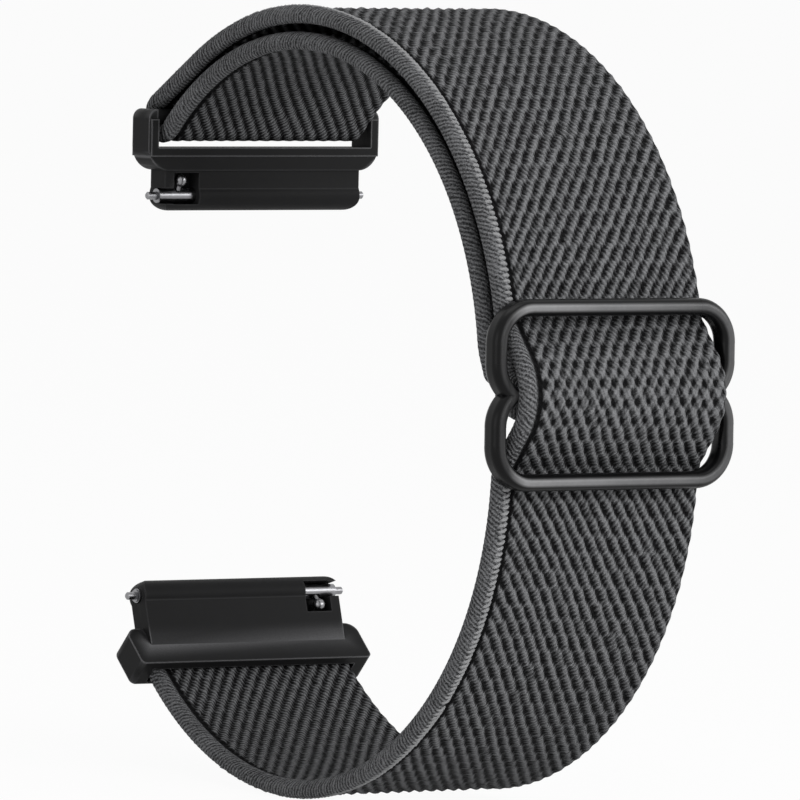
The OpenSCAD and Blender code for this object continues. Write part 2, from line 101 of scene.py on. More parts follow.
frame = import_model()
CAD_BOX = [list(corner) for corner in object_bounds()]
MM = 0.001
RULES = {joint["name"]: joint for joint in frame["joints"]}
SLIDE_PIVOT = RULES["buckle_slide"]["pos_m"]
FOLD_PIVOT = RULES["upper_tilt"]["pos_m"]


def length(name, text, default):
    """A length of the band in millimetres."""
    return bpy.props.FloatProperty(
        name=name, description=text, default=default, min=0.0, precision=3
    )


def colour(name, text, default):
    """A colour of the band."""
    return bpy.props.FloatVectorProperty(
        name=name, description=text, default=default, subtype="COLOR", size=3, min=0, max=1
    )


def power(name, text, default):
    """The power of a lamp in watts."""
    return bpy.props.FloatProperty(
        name=name, description=text, default=default, min=0.0, unit="POWER"
    )


def turn(name, text, default):
    """An angle, kept in radians."""
    return bpy.props.FloatProperty(
        name=name, description=text, default=math.radians(default), subtype="ANGLE"
    )


class BandRoute(bpy.types.PropertyGroup):
    """Course of the webbing in the side view, as the solids have it."""

    bar_span: length("Bar span", "Distance between the spring bars", 36.4)
    loop_radius: length("Loop radius", "Radius in the middle of the webbing", 32.0)
    loop_straight: length("Loop straight", "Height between the loop's two centres", 5.4)
    loop_set: length("Loop set", "Offset of the lower half towards the watch", 0.3)
    run_spacing: length("Run spacing", "Spacing of the two runs at the top", 2.37)
    run_spread: length("Run spread", "Growth of that spacing", 0.45)
    run_slope: turn("Run slope", "Slope of the inner run at the buckle", 27.0)
    turn_radius: length("Turn radius", "Radius of the curve into that slope", 6.0)
    fold_bar_d: length("Fold bar", "Diameter of the fold bar", 1.4)
    bar_pitch: length("Bar pitch", "Distance between the buckle's outer bars", 15.2)
    frame_depth: length("Frame depth", "Depth of the buckle's frame", 2.2)
    buckle_shift: length("Buckle shift", "Offset of the buckle above the middle", 4.4)
    centre_bar_d: length("Centre bar", "Diameter of the centre bar", 1.1)
    centre_bar_set: length("Centre bar set", "Setback of the centre bar", 1.1)
    under_radius: length("Under radius", "Radius under the outer bars", 3.0)
    crown_radius: length("Crown radius", "Radius over the centre bar", 5.0)
    tail_free: length("Free stretch", "Run between the sewn tail and the curve above", 0.3)
    tail_radius: length("Tail radius", "Radius of the turn into the tail", 1.2)
    socket_reach: length("Socket reach", "Lower bar to the socket's mouth", 7.6)
    socket_inset: length("Socket inset", "Mouth inside the loop's circle", 1.1)
    socket_depth: length("Socket depth", "Depth of the socket", 3.0)
    bend_length: length("Bend length", "Webbing that flexes at the socket", 6.0)
    bar_play: length("Bar play", "Play under the outer bars", 0.15)
    web_play: length("Webbing play", "Play at the inner bars", 0.06)
    layer_play: length("Layer play", "Play between layers", 0.03)
    take_up: turn("Take-up", "Turn of the loop that shares the buckle's motion", 70.0)
    lower_take_up: turn("Lower take-up", "The same below the buckle", 40.0)


class WebbingWeave(bpy.types.PropertyGroup):
    """Section and weave of the webbing."""

    width: length("Width", "Width of the webbing", 22.0)
    end_width: length("End width", "Width of the sewn end", 19.6)
    thickness: length("Thickness", "Thickness over the cord", 1.6)
    field: length("Field", "Thickness of the woven field", 1.4)
    groove: length("Groove", "Thickness in the groove", 0.84)
    groove_width: length("Groove width", "Width of the groove", 0.4)
    column_pitch: length("Column pitch", "Spacing of the knots across", 1.235)
    row_pitch: length("Row pitch", "Spacing of the knots lengthwise", 1.575)
    relief: length("Relief", "Depth between the knots", 0.34)
    row_step: length("Row step", "Lengthwise step of the mesh", 0.21)
    column_step: length("Column step", "Crosswise step of the mesh", 0.2)
    bead_pitch: length("Stitch pitch", "Spacing of the stitches beside the cord", 0.52)
    bead_length: length("Stitch length", "Length of such a stitch", 1.35)
    bead_width: length("Stitch width", "Width of such a stitch", 0.4)
    bead_height: length("Stitch height", "Height of such a stitch", 0.38)
    yarn_pitch: length("Yarn pitch", "Spacing of the yarn's fine twist", 0.42)
    seed: bpy.props.IntProperty(name="Seed", description="Seed of the unevenness", default=7)


class BandColours(bpy.types.PropertyGroup):
    """Colours and finishes."""

    yarn: colour("Yarn", "Top of the knots", (0.235, 0.238, 0.246))
    # Near black of the shade painted into the gaps between the knots
    gap: colour("Gap", "Bottom of the gaps between the knots", (0.004, 0.004, 0.0044))
    cord: colour("Cord", "Wound cord at the edge", (0.25, 0.253, 0.262))
    bead: colour("Stitch", "Stitches beside the cord", (0.42, 0.423, 0.43))
    thread: colour("Thread", "Sewing thread", (0.06, 0.061, 0.064))
    adapter: colour("Adapter", "Satin black adapters", (0.0175, 0.0175, 0.018))
    # Colour of the highlight painted along the adapters' edges
    edge: colour("Adapter edge", "Rubbed edges of the adapters", (0.16, 0.16, 0.165))
    enamel: colour("Buckle", "Gloss black buckle", (0.003, 0.003, 0.0033))
    # Grey of the highlight painted along the crown of the buckle's bars
    crown: colour("Buckle crown", "Rubbed crown of the bars", (0.26, 0.26, 0.265))
    steel: colour("Steel", "Spring bars", (0.27, 0.27, 0.28))
    floor: colour("Floor", "Studio floor and backdrop", (0.9, 0.9, 0.9))


class StudioView(bpy.types.PropertyGroup):
    """Camera and lamps."""

    target: bpy.props.FloatVectorProperty(
        name="Target", description="Point in the middle of the picture, mm",
        default=(0.0, -24.5, 2.16), size=3)
    heading: bpy.props.FloatVectorProperty(
        name="Heading", description="Direction of view", default=(0.574, 0.8134, -0.095), size=3)
    upright: bpy.props.FloatVectorProperty(
        name="Upright", description="Upwards in the picture", default=(0.012, 0.1076, 0.9942),
        size=3)
    distance: length("Distance", "Camera to target", 1080.0)
    scale: bpy.props.FloatProperty(
        name="Scale", description="Pixels per millimetre at the target", default=11.2, min=1.0)
    clearance: length("Floor clearance", "Room left for the yarn above the floor", 0.3)
    frame_size: bpy.props.IntProperty(
        name="Frame", description="Side of the picture in pixels", default=800)
    key: power("Key", "Key lamp", 0.48)
    fill: power("Fill", "Fill lamp", 0.32)
    strip: power("Strip", "Narrow lamp beside the camera", 0.85)
    top: power("Top", "Lamp above the band", 0.3)
    world: bpy.props.FloatProperty(
        name="World", description="Strength of the surrounding light", default=0.3, min=0.0)


def unit(angle):
    """Unit vector of the side view at an angle in radians."""
    return np.array([math.cos(angle), math.sin(angle)])


def bearing(v):
    """Angle of a vector of the side view."""
    return math.atan2(v[1], v[0])


def past(angle, start):
    """The angle, turned up by whole turns until it is past start."""
    full = 2 * math.pi
    return angle + full * math.ceil((start - angle) / full)


def tangent_normal(a, ra, b, rb, side):
    """Normal of the line that touches circle a, and circle b on the side that rb's sign says."""
    return bearing(b - a) + side * math.acos((ra + rb) / np.linalg.norm(b - a))


def arc(centre, radius, start, end):
    """A stretch of the route that turns about centre from start to end."""
    return ("arc", np.array(centre), radius, start, end)


def line(start, end):
    """A straight stretch of the route."""
    return ("line", np.array(start), np.array(end))


# Share of the runs' spread by which the inner run's centre moves towards the fold bar
SPREAD_SHARE = 0.81
# Turn below the buckle that keeps the loop's radius, before the lower run bends tighter
STAY_TURN = math.radians(14)


class Route:
    """The webbing's centre line in the side view, from the sewn tail to the lower adapter."""

    def __init__(self, r, w):
        edge = w.thickness / 2
        quarter = math.pi / 2
        half = math.pi
        lower_bar = np.array([0, -r.bar_span / 2])
        fold_bar = np.array(FOLD_PIVOT[1:]) / MM
        upper_c = np.array(SLIDE_PIVOT[1:]) / MM
        lower_c = upper_c + [r.loop_set, -r.loop_straight]
        loop = r.loop_radius
        rest_r = loop + edge + r.bar_play + r.frame_depth / 2
        offset = (r.bar_pitch - r.loop_straight) / 2
        upper_rest = half - math.asin((offset + r.buckle_shift) / rest_r)
        lower_rest = half + math.asin((offset - r.buckle_shift) / rest_r)
        top_bar = upper_c + rest_r * unit(upper_rest)
        bottom_bar = lower_c + rest_r * unit(lower_rest)
        buckle_c = (top_bar + bottom_bar) / 2
        out = unit(bearing(top_bar - bottom_bar) + quarter)

        wrap_c = buckle_c - r.centre_bar_set * out
        wrap_r = r.centre_bar_d / 2 + edge + r.web_play
        inner_r = loop - r.run_spacing - r.run_spread / 2
        inner_c = upper_c + SPREAD_SHARE * r.run_spread * unit(bearing(fold_bar - upper_c))
        run_normal = half - r.run_slope
        m, e = unit(run_normal), unit(run_normal - quarter)
        foot = wrap_c + (r.turn_radius - wrap_r) * m
        along = (inner_c - foot) @ e
        reach = inner_r + r.turn_radius
        sewn = along - math.sqrt(along**2 + reach**2 - (inner_c - foot) @ (inner_c - foot))
        turn_c = foot + sewn * e
        turn_from = bearing(turn_c - inner_c)
        gap = w.thickness + r.layer_play
        rise = math.asin((gap + r.tail_radius - wrap_r) / (wrap_r + r.tail_radius))
        tail_start = (wrap_r + r.tail_radius) * math.cos(rise)
        tail = sewn - tail_start - r.tail_free
        wrap_from = run_normal - quarter + rise
        tail_c = wrap_c + (wrap_r + r.tail_radius) * unit(wrap_from)
        tail_foot = tail_c - r.tail_radius * m

        crown_c = buckle_c + (wrap_r + w.thickness + r.layer_play
                              - r.centre_bar_set - r.crown_radius) * out
        under = loop + r.under_radius
        upper_under = upper_c + under * unit(upper_rest)
        lower_under = lower_c + under * unit(lower_rest)
        flank = tangent_normal(crown_c, r.crown_radius, upper_under, r.under_radius, 1)
        far_flank = past(
            tangent_normal(crown_c, r.crown_radius, lower_under, r.under_radius, -1), flank)

        fold_r = r.fold_bar_d / 2 + edge + r.web_play
        outer_normal = tangent_normal(upper_c, loop, fold_bar, -fold_r, 1)
        inner_normal = tangent_normal(inner_c, inner_r, fold_bar, fold_r, 1)

        stay = lower_rest + STAY_TURN
        mouth = self.meet(lower_c, loop - r.socket_inset, lower_bar, r.socket_reach)
        v = mouth - lower_c
        along = v @ unit(stay)
        end_r = (v @ v - 2 * loop * along + loop**2) / (2 * (loop - along))
        end_c = lower_c + (loop - end_r) * unit(stay)
        socket = past(bearing(mouth - end_c), stay)
        bend = socket - r.bend_length / end_r
        share = lower_rest + r.lower_take_up

        self.pieces = {
            "webbing_end_loop": [
                line(tail_foot + tail * e, tail_foot),
                arc(tail_c, r.tail_radius, run_normal + half, wrap_from + half),
                arc(wrap_c, wrap_r, wrap_from, run_normal + half),
                line(wrap_c - wrap_r * m, wrap_c - wrap_r * m + sewn * e)],
            "webbing_inner_run": [
                arc(turn_c, r.turn_radius, run_normal + half, turn_from + half),
                arc(inner_c, inner_r, turn_from, inner_normal),
                line(inner_c + inner_r * unit(inner_normal),
                     fold_bar - fold_r * unit(inner_normal))],
            "webbing_fold": [arc(fold_bar, fold_r, inner_normal - half, outer_normal)],
            "webbing_outer_run": [
                line(fold_bar + fold_r * unit(outer_normal),
                     upper_c + loop * unit(outer_normal)),
                arc(upper_c, loop, outer_normal, upper_rest)],
            "webbing_bridge": [
                arc(upper_under, r.under_radius, upper_rest + half, flank + half),
                line(upper_under - r.under_radius * unit(flank),
                     crown_c + r.crown_radius * unit(flank)),
                arc(crown_c, r.crown_radius, flank, far_flank),
                line(crown_c + r.crown_radius * unit(far_flank),
                     lower_under - r.under_radius * unit(far_flank)),
                arc(lower_under, r.under_radius, far_flank + half, lower_rest + half)],
            "webbing_lower_share": [
                arc(lower_c, loop, lower_rest, stay), arc(end_c, end_r, stay, share)],
            "webbing_lower_run": [arc(end_c, end_r, share, bend)],
            "webbing_lower_bend": [arc(end_c, end_r, bend, socket)],
            "webbing_lower_end": [line(mouth, mouth + r.socket_depth * unit(socket + quarter))],
        }
        self.sewn = sewn
        self.start = {}
        self.length = 0.0
        for name, stretches in self.pieces.items():
            self.start[name] = self.length
            self.length += sum(self.extent(s) for s in stretches)
        self.share_upper = (upper_c + loop * unit(upper_rest - r.take_up),
                            upper_c + loop * unit(upper_rest))
        self.share_inner = (inner_c + inner_r * unit(turn_from - r.take_up),
                            wrap_c - wrap_r * m + sewn * e)
        self.share_lower = (lower_c + loop * unit(lower_rest), end_c + end_r * unit(share))
        self.share_bend = (end_c + end_r * unit(bend), mouth)

    @staticmethod
    def meet(a, ra, b, rb):
        """Point at ra from a and rb from b, on the outer side."""
        d = np.linalg.norm(b - a)
        x = (d * d + ra * ra - rb * rb) / (2 * d)
        t = bearing(b - a)
        return a + x * unit(t) - math.sqrt(ra * ra - x * x) * unit(t + math.pi / 2)

    @staticmethod
    def extent(stretch):
        """Length of a stretch."""
        if stretch[0] == "line":
            return float(np.linalg.norm(stretch[2] - stretch[1]))
        return stretch[2] * abs(stretch[4] - stretch[3])

    def rows(self, name, step):
        """Centre points, face directions and lengths along the strip for a piece's rows."""
        points, normals, places = [], [], []
        place = self.start[name]
        for k, stretch in enumerate(self.pieces[name]):
            size = self.extent(stretch)
            count = max(2, round(size / step)) + 1
            t = np.linspace(0, 1, count)[(1 if k else 0):]
            if stretch[0] == "line":
                _, p, q = stretch
                face = bearing(q - p) - math.pi / 2
                points.append(p + t[:, None] * (q - p))
                normals.append(np.tile(unit(face), (len(t), 1)))
            else:
                _, c, radius, a0, a1 = stretch
                a = a0 + t * (a1 - a0)
                ray = np.stack([np.cos(a), np.sin(a)], -1)
                points.append(c + radius * ray)
                normals.append(ray if a1 > a0 else -ray)
            places.append(place + t * size)
            place += size
        return np.concatenate(points), np.concatenate(normals), np.concatenate(places)


def smooth(t):
    """Smooth step from 0 to 1."""
    t = np.clip(t, 0, 1)
    return t * t * (3 - 2 * t)


# Pieces whose outer face has stitches beside the cord
STITCHED = ("webbing_outer_run", "webbing_lower_share", "webbing_lower_run",
            "webbing_lower_bend", "webbing_lower_end")
# The sewn end widens over a taper that starts this far along it
TAPER_START, TAPER_LENGTH = 0.9, 1.5
# Stretches over which the weave turns its slant: from the fold on, and inside the buckle
FOLD_TURN = 5.0
BRIDGE_START, BRIDGE_TURN = 1.0, 15.0


def strip_width(w, route, place):
    """Width of the strip along its length: its sewn end is narrower."""
    reach = place - route.start["webbing_inner_run"] + route.sewn
    widened = smooth((reach - TAPER_START) / TAPER_LENGTH)
    return w.end_width + (w.width - w.end_width) * widened


def slant(route, place):
    """Share of the weave that leans one way: it changes at the fold and in the buckle."""
    from_fold = (place - route.start["webbing_fold"]) / FOLD_TURN
    in_buckle = (place - route.start["webbing_bridge"] - BRIDGE_START) / BRIDGE_TURN
    return smooth(from_fold) * (1 - smooth(in_buckle))


# Swells of a knot: height, place along and across its slant, length and width in mm
# The sunken swells sit to one side of each knot, and since the knot's height also sets the yarn's
# colour, they paint shade on that side.
KNOT = {
    "heel": (0.56, 0.03, 0.04, 0.80, 0.21),
    "toe": (0.80, 1.07, -0.11, 0.41, 0.24),
    "crease": (-0.66, 1.01, -0.20, 0.22, 0.22),
    "gap": (-0.54, 0.52, -0.74, 0.49, 0.30),
    "pit": (-0.42, -0.21, -0.54, 0.21, 0.27),
}
# Height between the knots, and how much deeper the weave is where both slants cross
KNOT_FLOOR, CROSSED_GAIN = 0.42, 2.8
# Ribs that the knots of a slanted line run into: their share of the height, on the wrist
# face and as a part of that on the outer face, their lowest and highest, and their phase
RIB_SHARE, OUTER_SHARE = 0.72, 0.5
RIB_LOW, RIB_HIGH = 0.05, 0.7
RIB_SHIFT = 0.15
# Knots that differ: how many across and along, and the spread of their place and height
KNOT_COUNTS = (48, 256)
SHIFT_ACROSS, SHIFT_ALONG, UNEVEN = 0.055, 0.07, 0.14
# Slow waves of the columns and rows: height, radians per mm across and along, and phase
COLUMN_WAVES = ((0.07, 0.31, 0.11, 0.0), (0.06, -0.5, 0.07, 2.0))
ROW_WAVES = ((0.06, 0.21, 0.05, 0.0),)


def waves(table, x, place):
    """Sum of slow waves over the strip."""
    return sum(tall * np.sin(across * x + along * place + phase)
               for tall, across, along, phase in table)


def knot_field(w, x, place, lean, ribbed):
    """Height of the woven knots, 0 in the gaps to 1 on top, and the tone of each knot.

    The knots of a slanted line run into one rib, more so where ribbed is 1.
    """
    rng = np.random.default_rng(w.seed)
    move_x = rng.normal(0, SHIFT_ACROSS, KNOT_COUNTS)
    move_s = rng.normal(0, SHIFT_ALONG, KNOT_COUNTS)
    tall = rng.normal(1, UNEVEN, KNOT_COUNTS)
    tone = rng.normal(0, 1, KNOT_COUNTS)
    column = (x + waves(COLUMN_WAVES, x, place)) / w.column_pitch
    row = place / w.row_pitch + waves(ROW_WAVES, x, place)
    i0, j0 = np.round(column).astype(int), np.round(row).astype(int)
    theta = math.atan2(w.column_pitch, w.row_pitch)
    sin, cos = math.sin(theta), math.cos(theta)
    height, shade = np.full_like(x, KNOT_FLOOR), np.zeros_like(x)
    for i in (i0 - 1, i0, i0 + 1):
        for j in (j0 - 2, j0 - 1, j0, j0 + 1, j0 + 2):
            k, m = i % KNOT_COUNTS[0], j % KNOT_COUNTS[1]
            dx = (column - i) * w.column_pitch - move_x[k, m]
            ds = (row - j) * w.row_pitch - move_s[k, m]
            ways = [(share, dx * sin + side * ds * cos, dx * cos - side * ds * sin)
                    for share, side in ((lean, -1), (1 - lean, 1))]
            for swell, (rise, at, aside, long, wide) in KNOT.items():
                bump = sum(
                    share * np.exp(-(((along - at) / long) ** 2 + ((over - aside) / wide) ** 2))
                    for share, along, over in ways)
                height += rise * tall[k, m] * bump
                if swell == "toe":
                    shade += bump * tone[k, m]
    height = KNOT_FLOOR + (height - KNOT_FLOOR) * (1 + CROSSED_GAIN * lean * (1 - lean))
    wave = (lean * np.cos(2 * np.pi * (column + row + RIB_SHIFT))
            + (1 - lean) * np.cos(2 * np.pi * (column - row + RIB_SHIFT)))
    rib = RIB_LOW + (RIB_HIGH - RIB_LOW) * np.sqrt(0.5 + 0.5 * np.clip(wave, -1, 1))
    height += RIB_SHARE * (OUTER_SHARE + (1 - OUTER_SHARE) * ribbed) * (rib - height)
    return np.clip(height, 0, 1), shade


# Columns of the mesh in the groove, at these distances before the field
GROOVE_STEPS = (0.34, 0.12)
# Columns of the mesh round the rolled edge and round the cord
ROLL_COLUMNS, CORD_COLUMNS = 13, 25


def web_outline(w):
    """Section of the webbing: a woven field rolled over at +X, and a groove and a cord along -X.

    Columns: place across, height, outward direction, unrolled place, woven, corded.
    """
    edge = w.thickness / 2
    deep, flat = w.groove / 2, w.field / 2
    cord_x = w.width / 2 - edge
    turn_x = w.width / 2 - flat
    start = w.thickness + w.groove_width - w.width / 2
    count = round((turn_x - start) / w.column_step) + 1
    rows = []
    across = np.linspace(start, turn_x, count)
    side = [start - step for step in GROOVE_STEPS]
    for x in side:
        rows.append((x, deep, 0.0, 1.0, x, 0.0, 0.0))
    for x in across:
        rows.append((x, flat, 0.0, 1.0, x, 1.0, 0.0))
    for a in np.linspace(math.pi / 2, -math.pi / 2, ROLL_COLUMNS)[1:-1]:
        wrap = turn_x + flat * (math.pi / 2 - abs(a))
        rows.append((turn_x + flat * math.cos(a), flat * math.sin(a),
                     math.cos(a), math.sin(a), wrap, 1.0, 0.0))
    for x in across[::-1]:
        rows.append((x, -flat, 0.0, -1.0, x, 1.0, 0.0))
    for x in side[::-1]:
        rows.append((x, -deep, 0.0, -1.0, x, 0.0, 0.0))
    open_turn = math.asin(deep / edge)
    for a in np.linspace(-open_turn, open_turn - 2 * math.pi, CORD_COLUMNS):
        rows.append((edge * math.cos(a) - cord_x, edge * math.sin(a),
                     math.cos(a), math.sin(a), edge * a, 0.0, 1.0))
    return np.array(rows)


# A stitch bead: points round it and steps from pole to pole
BEAD_RING, BEAD_BELT = 8, 4
# How far a bead lies along its pitch, how far the beads stay from a piece's ends, and
# how deep they are sunk
BEAD_START, BEAD_MARGIN, BEAD_SUNK = 0.25, 0.12, 0.02
# Points of the route for each bead, and what the beads add to the seed
BEAD_ROWS, BEAD_SEED = 4, 11
# Bend of a bead towards the field and towards the cord, per mm
FIELD_BEND, CORD_BEND = 0.55, 0.12
# Turn of the beads round the cord, their tilt along the strip and their size, each with
# its spread
BEAD_TURN = (math.radians(56), 0.05)
BEAD_TILT = (0.1, 0.09)
BEAD_SIZE = (1.0, 0.06)


def bead_points(half, tilt):
    """Points of a bead from pole to pole: along it, across it and up."""
    points = []
    for i in range(BEAD_BELT + 1):
        lat = math.pi * i / BEAD_BELT
        for j in range(BEAD_RING if 0 < i < BEAD_BELT else 1):
            lon = 2 * math.pi * j / BEAD_RING
            a = half[0] * math.cos(lat)
            b = half[1] * math.sin(lat) * math.cos(lon)
            c = half[2] * math.sin(lat) * math.sin(lon)
            c -= (FIELD_BEND if a > 0 else CORD_BEND) * a * a
            points.append((a, b + tilt * a, c))
    return points


def bead_faces(base):
    """Faces of a bead whose first vertex is base."""
    faces = []
    last_ring = base + 1 + (BEAD_BELT - 2) * BEAD_RING
    pole = last_ring + BEAD_RING
    for j in range(BEAD_RING):
        j1 = (j + 1) % BEAD_RING
        faces.append((base, base + 1 + j1, base + 1 + j))
        for i in range(BEAD_BELT - 2):
            q = base + 1 + i * BEAD_RING
            faces.append((q + j, q + j1, q + BEAD_RING + j1, q + BEAD_RING + j))
        faces.append((last_ring + j, last_ring + j1, pole))
    return faces


def stitch_beads(w, route, name, base):
    """Short crosswise stitches beside the cord: vertices, faces, places across and along.

    The number of their first vertex is base.
    """
    edge = w.thickness / 2
    cord_middle = np.array([edge - w.width / 2, 0])
    points, normals, places = route.rows(name, w.bead_pitch / BEAD_ROWS)
    first = math.ceil(places[0] / w.bead_pitch)
    last = math.floor(places[-1] / w.bead_pitch)
    rng = np.random.default_rng(w.seed + BEAD_SEED)
    size = np.array([w.bead_length, w.bead_width, w.bead_height]) / 2
    verts, faces, marks = [], [], []
    for k in range(first, last + 1):
        at = (k + BEAD_START) * w.bead_pitch
        if not places[0] + BEAD_MARGIN < at < places[-1] - BEAD_MARGIN:
            continue
        p = np.array([np.interp(at, places, points[:, j]) for j in (0, 1)])
        n = np.array([np.interp(at, places, normals[:, j]) for j in (0, 1)])
        n /= np.linalg.norm(n)
        t = np.array([-n[1], n[0]])
        out = unit(rng.normal(*BEAD_TURN))
        tilt = rng.normal(*BEAD_TILT)
        run = np.array([-out[1], out[0]])
        centre = cord_middle + (edge - BEAD_SUNK) * out
        half = size * rng.normal(*BEAD_SIZE, 3)
        faces += bead_faces(base + len(verts))
        for a, b, c in bead_points(half, tilt):
            x, z = centre + a * run + c * out
            verts.append((x, *(p + z * n + b * t)))
            marks.append((x, at + b))
    return verts, faces, marks


# The weave is calmer over the fold bar: by how much, how far past the fold's start, and
# over what length
FOLD_CALM, FOLD_MIDDLE, FOLD_SPREAD = 0.8, 2.6, 3.5
# The knots grow from a low start beside the groove over this width
GROOVE_RISE, GROOVE_LOW = 0.6, 0.3
# They sink by a share towards the rolled edge, from this far before it, over this width
ROLL_SINK, ROLL_REACH, ROLL_WIDTH = 0.6, 1.3, 0.8
# Height of a knot, 0 to 1, that lies on the section's own surface
KNOT_LEVEL = 0.92
# Yarn wound round the cord: its slope, pitch and depth
CORD_LAY, CORD_PITCH, CORD_DEPTH = 0.55, 0.62, 0.018


def woven_grid(w, route, name):
    """Vertices of one length of webbing in rows, in mm, and the values that they carry."""
    x, z, nx, nz, across, woven, corded = web_outline(w).T
    points, normals, places = route.rows(name, w.row_step)
    X, S = np.meshgrid(x, places)
    A = np.broadcast_to(across, X.shape)
    lean = slant(route, S)
    past_fold = S - route.start["webbing_fold"]
    ribbed = np.maximum(smooth(-nz), 1 - smooth(past_fold / FOLD_TURN))
    knot, tone = knot_field(w, A, S, lean, ribbed)
    calm = 1 - FOLD_CALM * np.exp(-(((past_fold - FOLD_MIDDLE) / FOLD_SPREAD) ** 2))
    border = np.clip((across - x.min() - w.thickness) / GROOVE_RISE, GROOVE_LOW, 1)
    sunk = smooth((across - w.width / 2 + ROLL_REACH) / ROLL_WIDTH)
    border = border * (1 - ROLL_SINK * sunk)
    twist = np.sin(2 * np.pi * (S + CORD_LAY * A) / CORD_PITCH)
    bulge = woven * w.relief * border * calm * (knot - KNOT_LEVEL)
    bulge = bulge + corded * CORD_DEPTH * twist
    height = z + bulge * nz
    scale = strip_width(w, route, places)[:, None] / w.width
    verts = np.stack([
        (X + bulge * nx) * scale,
        points[:, :1] + height * normals[:, :1],
        points[:, 1:] + height * normals[:, 1:]], -1)
    carried = {
        "weave_x": A, "weave_s": S, "knot": knot * woven, "tone": tone,
        "lean": 2 * lean - 1, "rib": ribbed, "cord": corded, "bead": 0.0,
    }
    data = {key: np.broadcast_to(v, X.shape).ravel() for key, v in carried.items()}
    return verts, data


def strip_faces(rows, cols):
    """Faces of a closed strip of rows by cols vertices: its four-sided ones, and its two ends."""
    i, j = np.meshgrid(np.arange(rows - 1), np.arange(cols), indexing="ij")
    j1 = (j + 1) % cols
    quads = np.stack([i * cols + j, i * cols + j1, (i + 1) * cols + j1, (i + 1) * cols + j], -1)
    ends = [list(range(cols))[::-1], list(range((rows - 1) * cols, rows * cols))]
    return quads.reshape(-1, 4).tolist(), ends


def weave_piece(w, route, name):
    """Mesh of one length of webbing, closed at both ends, with its stitches."""
    grid, data = woven_grid(w, route, name)
    verts = grid.reshape(-1, 3)
    quads, ends = strip_faces(*grid.shape[:2])
    faces = quads + ends
    if name in STITCHED:
        bead_verts, beads, marks = stitch_beads(w, route, name, len(verts))
        verts = np.concatenate([verts, np.array(bead_verts)])
        faces += beads
        marks = np.array(marks)
        more = {"weave_x": marks[:, 0], "weave_s": marks[:, 1], "bead": np.ones(len(marks))}
        none = np.zeros(len(marks))
        data = {key: np.concatenate([v, more.get(key, none)]) for key, v in data.items()}
    mesh = bpy.data.meshes.new(name)
    mesh.from_pydata((verts * MM).tolist(), [], faces)
    for key, values in data.items():
        mesh.attributes.new(key, "FLOAT", "POINT").data.foreach_set(
            "value", values.astype(np.float32))
    mesh.polygons.foreach_set("use_smooth", [True] * len(mesh.polygons))
    for f in (len(quads), len(quads) + 1):
        mesh.polygons[f].use_smooth = False
        for loop in mesh.polygons[f].loop_indices:
            mesh.edges[mesh.loops[loop].edge_index].use_edge_sharp = True
    mesh.update()
    piece = bpy.data.objects.new(name, mesh)
    bpy.context.scene.collection.objects.link(piece)
    return piece


class Channel:
    """An output socket of a finish, with the arithmetic that the finishes use."""

    def __init__(self, finish, socket):
        self.finish, self.socket = finish, socket

    def op(self, operation, *others):
        """A Math node on this value and the others."""
        return self.finish.add("ShaderNodeMath", {"operation": operation}, self, *others)

    def __add__(self, other):
        return self.op("ADD", other)

    def __sub__(self, other):
        return self.op("SUBTRACT", other)

    def __rsub__(self, other):
        return self.finish.add("ShaderNodeMath", {"operation": "SUBTRACT"}, other, self)

    def __mul__(self, other):
        return self.op("MULTIPLY", other)

    def __pow__(self, other):
        return self.op("POWER", other)

    __radd__ = __add__
    __rmul__ = __mul__

    def __abs__(self):
        return self.op("ABSOLUTE")

    def sine(self):
        """Sine of the value in radians."""
        return self.op("SINE")

    def between(self, low, high):
        """The value held between two limits."""
        return self.op("MAXIMUM", low).op("MINIMUM", high)


# Samples of the rounded and open edges, and the gains that turn them into a mask
EDGE_SAMPLES = 6
EDGE_GAIN, OPEN_GAIN, OPEN_START = 16.0, 6.0, 4.6


